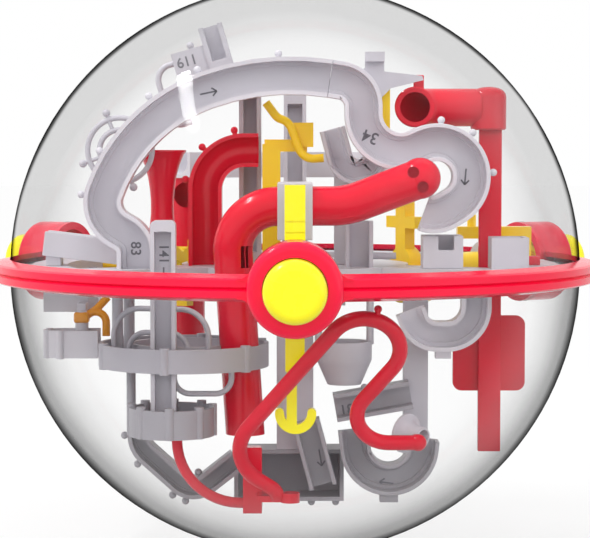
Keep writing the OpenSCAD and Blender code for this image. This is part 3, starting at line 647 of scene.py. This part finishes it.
# Dials: three lemon-yellow round buttons in the ring's collars, and the front lever with its scoop.
# Glossier plastic in the yellow's unshaded lemon tone, brighter than the bars' painted shade; each dial is
# keyed on the shaft of its own lever or wheel and turns with it.
dial_yellow = moulded("dial_yellow", (1.0, 0.93, 0.01), (0.98, 0.86, 0.008),
                      rough=0.26, grain=0.015, coat=0.3)
dress(dial_yellow, "front_knob", "left_knob", "right_knob", "lift_arm")
soften("lift_arm")

# Ball: a polished steel bearing ball, loose in the globe, lying at the low end of the rear start gutter.
# Ground steel, bright with faint rub marks.
steel = moulded("ball_steel", (0.78, 0.78, 0.8), (0.7, 0.7, 0.73), rough=0.12, grain=0.01)
steel.node_tree.nodes["Principled BSDF"].inputs["Metallic"].default_value = 1.0
dress(steel, "steel_ball")

# Shell: two clear half globes, moulded in hard clear plastic about two millimetres thick.
# Their flanges are clamped between the ring halves; the wall is clear face-on, with painted shade darkening
# it seen edge-on, for the dark edge a clear wall reflects and bends.
wall_middle = 0.0939
shell_gloss = ((0.34, 0.007), (0.44, 0.028), (0.56, 0.05), (0.7, 0.04), (0.76, 0.022), (0.86, 0.005))


def slant_ramp(tree, first, last, stops):
    """Levels from face-on to edge-on, with pairs of slant and level between."""
    ramp = add_node(tree, "ShaderNodeValToRGB")
    ramp.color_ramp.elements[0].color = first
    ramp.color_ramp.elements[1].color = last
    for slant, level in stops:
        ramp.color_ramp.elements.new(slant).color = grey(level)
    return ramp


def clear_plastic(name, edge_shade_stops):
    """Clear in the middle, with painted shade darkening the outer skin towards the outline, slow ripples in
    the wall and a faint gloss.
    """
    mat = bpy.data.materials.new(name)
    mat.use_nodes = True
    tree = mat.node_tree
    tree.nodes.clear()
    facing = add_node(tree, "ShaderNodeLayerWeight", {"Blend": 0.5})
    where = add_node(tree, "ShaderNodeTexCoord")
    stretch = add_node(tree, "ShaderNodeMapping", {"Scale": (1, 1, 2.5)})
    wire(tree, where, "Object", stretch, "Vector")
    ripple = noise_over(tree, stretch, "Vector", scale=11, detail=1)
    sway = add_node(tree, "ShaderNodeMapRange", {
        "From Min": 0.3, "From Max": 0.7, "To Min": -0.03, "To Max": 0.03})
    wire(tree, ripple, "Fac", sway, "Value")
    slanted = add_node(tree, "ShaderNodeMath")
    wire(tree, facing, "Facing", slanted, 0)
    wire(tree, sway, 0, slanted, 1)
    # Painted shade: the see-through colour darkens towards the outline, standing in for the dark edge that a
    # clear wall reflects and bends.
    painted_edge_shade = slant_ramp(tree, grey(0.99), (0.02, 0.022, 0.026, 1), edge_shade_stops)
    wire(tree, slanted, 0, painted_edge_shade, "Fac")
    reach = add_node(tree, "ShaderNodeVectorMath")
    reach.operation = "LENGTH"
    wire(tree, where, "Object", reach, 0)
    outer_skin = add_node(tree, "ShaderNodeMath", {1: wall_middle})
    outer_skin.operation = "GREATER_THAN"
    wire(tree, reach, "Value", outer_skin, 0)
    skin = add_node(tree, "ShaderNodeMix", {6: grey(0.998)})
    skin.data_type = "RGBA"
    wire(tree, outer_skin, 0, skin, 0)
    wire(tree, painted_edge_shade, "Color", skin, 7)
    through = add_node(tree, "ShaderNodeBsdfTransparent")
    wire(tree, skin, 2, through, "Color")
    haze = noise_over(tree, where, "Object", scale=60, detail=4)
    polish = add_node(tree, "ShaderNodeMapRange", {"To Min": 0.01, "To Max": 0.05})
    wire(tree, haze, "Fac", polish, "Value")
    gleam = add_node(tree, "ShaderNodeBsdfGlossy", {"Color": grey(1)})
    wire(tree, polish, 0, gleam, "Roughness")
    gloss = slant_ramp(tree, grey(0.004), grey(0), shell_gloss)
    wire(tree, facing, "Facing", gloss, "Fac")
    wall = add_node(tree, "ShaderNodeMixShader")
    wire(tree, gloss, "Color", wall, 0)
    wire(tree, through, 0, wall, 1)
    wire(tree, gleam, 0, wall, 2)
    wire(tree, wall, 0, add_node(tree, "ShaderNodeOutputMaterial"), "Surface")
    return mat


dress(clear_plastic("clear_upper", (
    (0.2, 0.985), (0.39, 0.945), (0.5, 0.87), (0.58, 0.825), (0.82, 0.83), (0.85, 0.71), (0.88, 0.38),
    (0.94, 0.12))), "upper_shell")
# Painted shade: the lower half's copy has a wider dark band towards the outline, for the shade in the lower
# globe.
dress(clear_plastic("clear_lower_shaded", (
    (0.2, 0.99), (0.4, 0.98), (0.45, 0.96), (0.5, 0.92), (0.6, 0.83), (0.72, 0.64), (0.78, 0.61),
    (0.82, 0.46), (0.88, 0.29), (0.94, 0.16))), "lower_shell")

# Ring: two crimson half rings clamped together round the shell flanges, with a round collar for each dial.
# Glossy plastic, a brighter red than the pipes; the parting line shows as the dark groove round the middle.
ring_red = moulded("ring_red", (0.95, 0.003, 0.05), (0.88, 0.002, 0.04), rough=0.2, grain=0.012, coat=0.15)
dress(ring_red, "ring_upper", "ring_lower")
